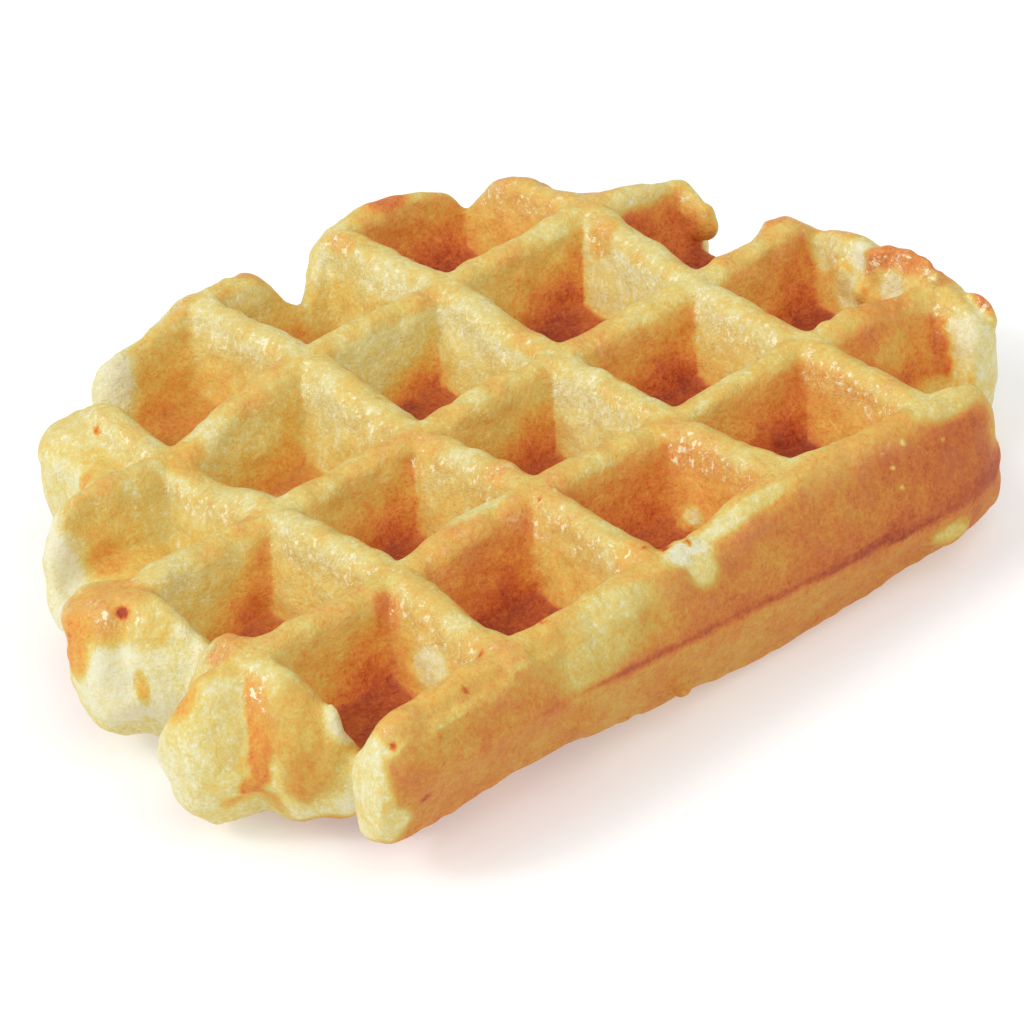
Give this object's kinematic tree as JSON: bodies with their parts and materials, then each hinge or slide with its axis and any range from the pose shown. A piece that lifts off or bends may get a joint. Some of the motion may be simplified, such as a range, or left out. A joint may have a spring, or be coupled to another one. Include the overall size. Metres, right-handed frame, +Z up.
{
  "type": "liege waffle",
  "caption": "Thick waffle of browned yeast dough with deep square pockets on both sides, one straight side with a seam and free lobed edges.",
  "frame": {"origin": "centre of the footprint's bounding box, on the surface it rests on", "axes": "+X along the straight side, the waffle's longest way; +Y from the straight side to the lobed side; +Z up through its thickness"},
  "size_m": [0.1306, 0.1062, 0.0234],
  "materials": {
    "crust": "golden to brown baked crust with sugar gloss on the ridges and pale matte dough at the free edges"
  },
  "bodies": {
    "root": {"waffle": "crust"}
  },
  "joints": []
}
